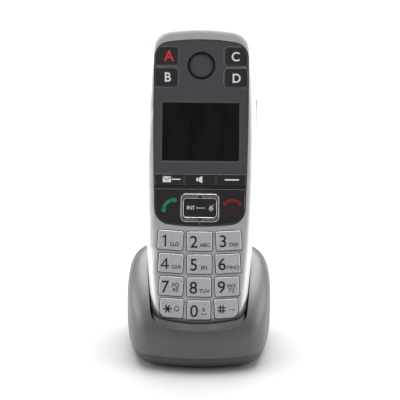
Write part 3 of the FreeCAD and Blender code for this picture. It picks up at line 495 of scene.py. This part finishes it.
def bell(x, y, size, width):
    """A small bell drawn as an outline, with a rim line and a clapper."""
    r = size * 0.45
    return strokes(band(x, y + r * 0.3, r, width, 0, 180),
                   bar(x - r, y + r * 0.3, x - r * 1.15, y - r * 0.8, width),
                   bar(x + r, y + r * 0.3, x + r * 1.15, y - r * 0.8, width),
                   bar(x - r * 1.4, y - r * 0.9, x + r * 1.4, y - r * 0.9, width),
                   band(x, y - r, r * 0.4, width, 180, 360))


DIGIT, DIGIT_WEIGHT = 6.0, 0.045         # the height of a number and how far its outline is moved out
LETTER, LETTER_WEIGHT = 1.85, 0.035      # the same for the small letters


def digits():
    """The dial's numbers in black, with their small letters or marks to the right."""
    letters = {"2": "ABC", "3": "DEF", "4": "GHI", "5": "JKL", "6": "MNO", "8": "TUV"}
    stacked = {"7": ("PQ", "RS"), "9": ("WX", "YZ")}
    for number in "123456789":
        if number == "1":
            shapes = strokes(bar(-2.6, -3.0, -2.6, 2.3, 0.82), bar(-2.6, 2.3, -3.9, 1.5, 0.68))
        elif number == "4":
            shapes = strokes(bar(-2.2, -3.0, -2.2, 2.3, 0.72), bar(-2.2, 2.3, -4.9, -1.45, 0.66),
                             bar(-4.9, -1.45, -0.9, -1.45, 0.66))
        else:
            shapes = [text_mesh(number, DIGIT, -2.95, -0.35, DIGIT_WEIGHT)]
        if number in letters:
            weight = 0.0 if number == "6" else LETTER_WEIGHT     # a heavier M would fold over itself
            shapes.append(text_mesh(letters[number], LETTER, 2.75, -2.0, weight, width=1.04))
        elif number in stacked:
            first, second = stacked[number]
            shapes.append(text_mesh(first, LETTER, 2.3, 0.35, LETTER_WEIGHT))
            shapes.append(text_mesh(second, LETTER, 2.3, -1.95, LETTER_WEIGHT))
        else:
            shapes += [shape_mesh(ring(x, -2.1, 0.95, 0.35)) for x in (0.75, 3.45)]
            shapes += strokes(bar(0.9, -2.9, 3.3, -2.9, 0.3))
        legend("legend_" + number, shapes, "black", "key_" + number, "key_%s_body" % number)
    star = asterisk(-2.0, -0.4, 1.95, 0.72) + bell(2.7, -0.4, 2.2, 0.3)
    legend("legend_star", star, "black", "key_star", "key_star_body")
    zero = [text_mesh("0", DIGIT, -2.45, -0.5, DIGIT_WEIGHT), text_mesh("R", 1.8, 2.65, 0.1, LETTER_WEIGHT)]
    zero += strokes(bar(1.4, -1.6, 1.4, -2.2, 0.3), bar(1.4, -2.2, 3.9, -2.2, 0.3),
                    bar(3.9, -2.2, 3.9, -1.6, 0.3))
    legend("legend_0", zero, "black", "key_0", "key_0_body")
    lock = strokes(bar(1.9, -0.5, 2.1, -0.5, 0.5), bar(3.3, -0.45, 4.1, -0.45, 0.42))
    legend("legend_hash", hash_mark(-2.4, -0.4, 1.9, 0.62) + lock, "black", "key_hash", "key_hash_body")


def direct_letters():
    for letter, ink, x, y, height in (("a", "red", 1.15, -0.2, 5.3), ("b", "white", 0.75, 0.0, 4.6),
                                      ("c", "white", -0.35, -0.3, 4.5), ("d", "white", 0.25, -0.3, 4.5)):
        node = "direct_key_" + letter
        legend("legend_direct_" + letter, [text_mesh(letter.upper(), height, x, y, weight=0.10, width=0.95)],
               ink, node, node + "_body")


def soft_marks():
    low, high = span("soft_key_left")
    row = (low.y + high.y) / 2
    envelope = [rounded(4.3, 3.1, 0.15)]
    left = ("soft_key_left", "soft_key_left_body")
    legend("envelope", [shape_mesh(envelope)], "white", *left, (-17.3 * MM, row))
    flap = strokes(bar(-1.9, 1.25, 0, -0.35, 0.3), bar(0, -0.35, 1.9, 1.25, 0.3))
    legend("envelope_flap", flap, "black", *left, (-17.3 * MM, row), 0.05 * MM)
    legend("left_dash", strokes(bar(-2, 0, 2, 0, 0.6)), "white", *left, (-12.4 * MM, row))
    cone = [[(-1.6, 0.85), (-0.7, 0.85), (-0.7, -0.85), (-1.6, -0.85)]]
    horn = [[(-0.45, 0.85), (1.5, 1.95), (1.5, -1.95), (-0.45, -0.85)]]
    legend("loudspeaker_mark", [shape_mesh(cone), shape_mesh(horn)], "white",
           "soft_key_middle", "soft_key_middle_body", (-0.4 * MM, row))
    legend("right_dash", strokes(bar(-3.4, 0, 3.4, 0, 0.75)), "white",
           "soft_key_right", "soft_key_right_body", (16.4 * MM, row))


def call_marks():
    row = middle("nav_plate").y
    legend("talk_mark", strokes(turned(receiver(), 43)), "green", "talk_key", "talk_key_body",
           (-16.4 * MM, row + 1.9 * MM))
    legend("end_mark", strokes(receiver()), "end_red", "end_key", "end_key_body", (16.7 * MM, row + 3.1 * MM))
    power = strokes(band(0, 0, 1.45, 0.4, -240, 60), bar(0, 0.4, 0, 1.9, 0.4))
    legend("power_mark", power, "dark_red", "end_key", "end_key_body", (16.7 * MM, row - 0.4 * MM))


def pad_marks():
    row = middle("nav_plate").y
    plate = ("nav_plate", "nav_plate_body", (0, row))
    legend("intercom_mark", [text_mesh("INT", 1.8, -4.7, 0.1, weight=0.04)], "white", *plate)
    legend("plate_dash", strokes(bar(-1.8, 0, 2.4, 0, 0.55)), "pale", *plate)
    mute = [shape_mesh([arc(5.8, 0.4, 0.95, 0, 180, 12) + [(4.4, -0.9), (7.2, -0.9)]])]
    mute += strokes(bar(5.4, -1.4, 6.2, -1.4, 0.5), bar(6.3, 1.0, 7.3, 1.9, 0.3))
    legend("mute_mark", mute, "pale", *plate)
    up = [shape_mesh([[(-1.15, -0.75), (1.15, -0.75), (0, 0.95)]])]
    legend("up_mark", up, "black", "nav_ring", "nav_ring_body", (0, row + 5.8 * MM))
    down = [shape_mesh([[(-1.3, 0.75), (1.3, 0.75), (0.4, -0.75), (-0.4, -0.75)]])]
    legend("down_mark", down, "black", "nav_ring", "nav_ring_body", (0, row - 5.8 * MM))


# ---------------------------------------------------------------------------
# Small trim
# ---------------------------------------------------------------------------
def five_pip():
    """The raised dot that a finger finds beside the five."""
    low, high = span("key_5")
    u, v = (low.x + high.x) / 2 + 0.1 * MM, (low.y + high.y) / 2
    bm = bmesh.new()
    bmesh.ops.create_uvsphere(bm, u_segments=20, v_segments=10, radius=1.0)
    for vertex in bm.verts:
        x, y, z = vertex.co
        vertex.co = place(u + x * 0.42 * MM, v + y * 0.42 * MM, low.z - z * 0.30 * MM)
    dot = piece("five_pip", bm, FINISHES["key_silver"], "key_5_body")
    for face in dot.data.polygons:
        face.use_smooth = True


def window_frame():
    """The sloping edge of the opening over the display, from the panel's face down to the window."""
    low, high = span("display_lens")
    face = span("front_fascia")[0].z
    u, v = (low.x + high.x) / 2, (low.y + high.y) / 2
    width, height = (high.x - low.x) / MM + 0.3, (high.y - low.y) / MM + 0.3
    bm = bmesh.new()
    rows = []
    slope = ((0.0, face + 0.02 * MM), (0.75, low.z - 0.02 * MM), (0.75, low.z + 0.10 * MM),
             (0.0, low.z + 0.10 * MM))
    for inset, depth in slope:
        loop = rounded(width - 2 * inset, height - 2 * inset, 0.9)
        rows.append([bm.verts.new(place(u + x * MM, v + y * MM, depth)) for x, y in loop])
    for near, far in zip(rows, rows[1:] + rows[:1]):
        for i in range(len(near)):
            j = (i + 1) % len(near)
            bm.faces.new((near[i], near[j], far[j], far[i]))
    piece("window_frame", bm, FINISHES["panel_gloss"], "handset")


def tube(name, points, radius, finish, body, closed=False):
    """A thin round bead along points in the frame, as a mesh."""
    curve = bpy.data.curves.new(name, "CURVE")
    curve.dimensions = "3D"
    curve.bevel_depth = radius
    curve.bevel_resolution = 3
    curve.use_fill_caps = True
    spline = curve.splines.new("POLY")
    spline.points.add(len(points) - 1)
    for point, at in zip(spline.points, points):
        point.co = (*at, 1)
    spline.use_cyclic_u = closed
    bm = bmesh.new()
    mesh = filled_mesh(curve)
    bm.from_mesh(mesh)
    bpy.data.meshes.remove(mesh)
    bmesh.ops.remove_doubles(bm, verts=bm.verts, dist=radius * 0.01)
    item = piece(name, bm, FINISHES[finish], body)
    for face in item.data.polygons:
        face.use_smooth = True
    return item


def outline(flat, margin):
    """The convex outline round flat points, moved out by a margin."""
    loop = []
    for index in convex_hull_2d(flat):
        point = Vector(flat[index])
        if not loop or (point - loop[-1]).length > 0.05 * MM:
            loop.append(point)
    moved = []
    for before, point, after in zip(loop[-1:] + loop[:-1], loop, loop[1:] + loop[:1]):
        side = (after - before).normalized()
        moved.append(point + Vector((side.y, -side.x)) * margin)
    return moved


def in_plane(*nodes, deepest=1.0):
    """The (u, v) of the nodes' vertices whose w is no more than the deepest."""
    found = []
    for node in nodes:
        for vertex in frame["nodes"][node].data.vertices:
            if vertex.co.dot(INWARD) <= deepest:
                found.append((vertex.co.dot(RIGHT), vertex.co.dot(ALONG)))
    return found


def panel_groove():
    """The black line between the panel and the silver shell."""
    depth = span("front_fascia")[0].z + 0.12 * MM
    flat = in_plane("front_fascia", "talk_key", "end_key", "soft_key_left", "soft_key_right",
                    "direct_key_a", "direct_key_b", "direct_key_c", "direct_key_d")
    points = [place(p.x, p.y, depth) for p in outline(flat, 0.41 * MM)]
    tube("panel_groove", points, 0.23 * MM, "ring_black", "handset", closed=True)


def key_shade_lines():
    """Painted shade: a dark grey bead laid round each dial key where it comes through the silver face,
    standing in for the shade in the gap.
    """
    face = span("front_fascia")[0].z
    for number in list("1234567890") + ["star", "hash"]:
        node = "key_" + number
        flat = in_plane(node, deepest=face + 1.0 * MM)
        points = [place(p.x, p.y, face + 0.10 * MM) for p in outline(flat, 0.30 * MM)]
        # Painted shade: a dark bead in place of the shade round the key.
        tube("groove_" + number, points, 0.17 * MM, "groove_grey", "handset", closed=True)


def seam_shade_bead():
    """Painted shade: a black bead in the joint between the base's two shells, in place of the shadow in the
    seam.
    """
    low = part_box("base_upper_shell")[0]
    vertices = frame["nodes"]["base_upper_shell"].data.vertices
    rim = [(v.co.x, v.co.y) for v in vertices if v.co.z < low.z + 0.1 * MM]
    points = [Vector((p.x, p.y, low.z - 0.08 * MM)) for p in outline(rim, -0.12 * MM)]
    # Painted shade: the black bead stands a little proud so the seam shows as a dark line.
    tube("seam_shade_bead", points, 0.18 * MM, "ring_black", "base", closed=True)


def direct_key_rims():
    """The fine raised line round each direct key, open towards the panel's edge."""
    face = span("front_fascia")[0].z
    edge = span("front_fascia")[1].x - 0.5 * MM
    for letter in "abcd":
        low, high = span("direct_key_" + letter)
        side = -1 if low.x < 0 else 1
        inner = (high.x if side < 0 else low.x) / MM - side * 0.4
        bottom, top = low.y / MM - 0.4, high.y / MM + 0.4
        corner = 2.4
        path = [(edge / MM, top)] + arc(side * inner + corner, top - corner, corner, 90, 180, 8)
        path += arc(side * inner + corner, bottom + corner, corner, 180, 270, 8) + [(edge / MM, bottom)]
        if letter in "ac":
            path = path[6:]
        points = [place(side * x * MM, y * MM, face + 0.02 * MM) for x, y in path]
        tube("direct_rim_" + letter, points, 0.15 * MM, "trim_grey", "handset")


def key_divider():
    """The dark bar across the panel between the soft keys and the call keys."""
    bottom, top = span("talk_key")[1].y / MM + 0.12, span("soft_key_left")[0].y / MM - 0.12
    half = span("soft_key_right")[1].x / MM - 0.15
    face = span("front_fascia")[0].z
    bm = bmesh.new()
    rows = []
    for inset, depth in ((0.0, face + 1.2 * MM), (0.0, face + 0.25 * MM), (0.2, face + 0.05 * MM)):
        loop = rounded(2 * half - 2 * inset, top - bottom - 2 * inset, 0.3 - inset / 2, 0, (top + bottom) / 2)
        rows.append([bm.verts.new(place(x * MM, y * MM, depth)) for x, y in loop])
    for near, far in zip(rows, rows[1:]):
        for i in range(len(near)):
            j = (i + 1) % len(near)
            bm.faces.new((near[i], near[j], far[j], far[i]))
    bm.faces.new(rows[0])
    bm.faces.new(rows[-1])
    piece("key_divider", bm, FINISHES["panel_black"], "handset")


digits()
direct_letters()
panel_groove()
key_shade_lines()
seam_shade_bead()
direct_key_rims()
key_divider()
soft_marks()
call_marks()
pad_marks()
five_pip()
window_frame()


# ---------------------------------------------------------------------------
# Floor, light and camera
# ---------------------------------------------------------------------------
def floor():
    bm = bmesh.new()
    bmesh.ops.create_grid(bm, x_segments=8, y_segments=8, size=4.0)
    mesh = bpy.data.meshes.new("floor")
    bm.to_mesh(mesh)
    bm.free()
    item = bpy.data.objects.new("floor", mesh)
    paper = Finish("floor_paper", Roughness=0.9, Specular_IOR_Level=0.1)
    mottle = paper.spread(paper.noise(0.3), 0.0, 1.0)
    paper.feed("Base Color", paper.blend(mottle, (0.44, 0.44, 0.44), (0.46, 0.46, 0.46)))
    item.data.materials.append(paper.material)
    bpy.context.scene.collection.objects.link(item)


def soft_box(name, position, target, size, power):
    light = bpy.data.lights.new(name, "AREA")
    light.shape = "RECTANGLE"
    light.size, light.size_y = size
    light.energy = power
    item = bpy.data.objects.new(name, light)
    item.location = position
    item.rotation_euler = (Vector(target) - Vector(position)).to_track_quat("-Z", "Y").to_euler()
    bpy.context.scene.collection.objects.link(item)


def surroundings():
    """A white tent all round, open and darker on the side that the handset's face looks to."""
    world = bpy.data.worlds.new("tent")
    bpy.context.scene.world = world
    world.use_nodes = True
    tree = world.node_tree
    where = tree.nodes.new("ShaderNodeTexCoord")
    facing = tree.nodes.new("ShaderNodeVectorMath")
    facing.operation = "DOT_PRODUCT"
    tree.links.new(where.outputs["Generated"], facing.inputs[0])
    facing.inputs[1].default_value = -INWARD
    shade = tree.nodes.new("ShaderNodeMapRange")
    shade.interpolation_type = "SMOOTHSTEP"
    for socket, value in (("From Min", 0.30), ("From Max", 0.97), ("To Min", 0.62), ("To Max", 0.08)):
        shade.inputs[socket].default_value = value
    tree.links.new(facing.outputs["Value"], shade.inputs["Value"])
    tree.links.new(shade.outputs[0], tree.nodes["Background"].inputs["Strength"])
    tree.nodes["Background"].inputs["Color"].default_value = (1, 1, 1, 1)


def camera():
    """A long lens square to the handset's face, rolled slightly."""
    target = place(0, middle("nav_plate").y + 4.15 * MM, span("front_fascia")[0].z)
    data = bpy.data.cameras.new("camera")
    data.lens, data.sensor_width = 147.6, 36.0
    distance, roll = 0.85, math.radians(0.62)
    item = bpy.data.objects.new("camera", data)
    item.location = target - INWARD * distance
    upright = Matrix((RIGHT, ALONG, -INWARD)).transposed()
    item.rotation_euler = (Matrix.Rotation(roll, 3, -INWARD) @ upright).to_euler()
    bpy.context.scene.collection.objects.link(item)
    bpy.context.scene.camera = item


floor()
surroundings()
soft_box("over", (0.03, 0.50, 1.05), (0, 0.15, 0.0), (1.3, 1.2), 38)
soft_box("right", (1.0, 0.0, 0.40), (0, 0, 0.08), (0.9, 0.8), 7)
soft_box("left", (-1.0, 0.0, 0.40), (0, 0, 0.08), (0.9, 0.8), 8)
camera()
bpy.context.scene.view_settings.view_transform = "Standard"
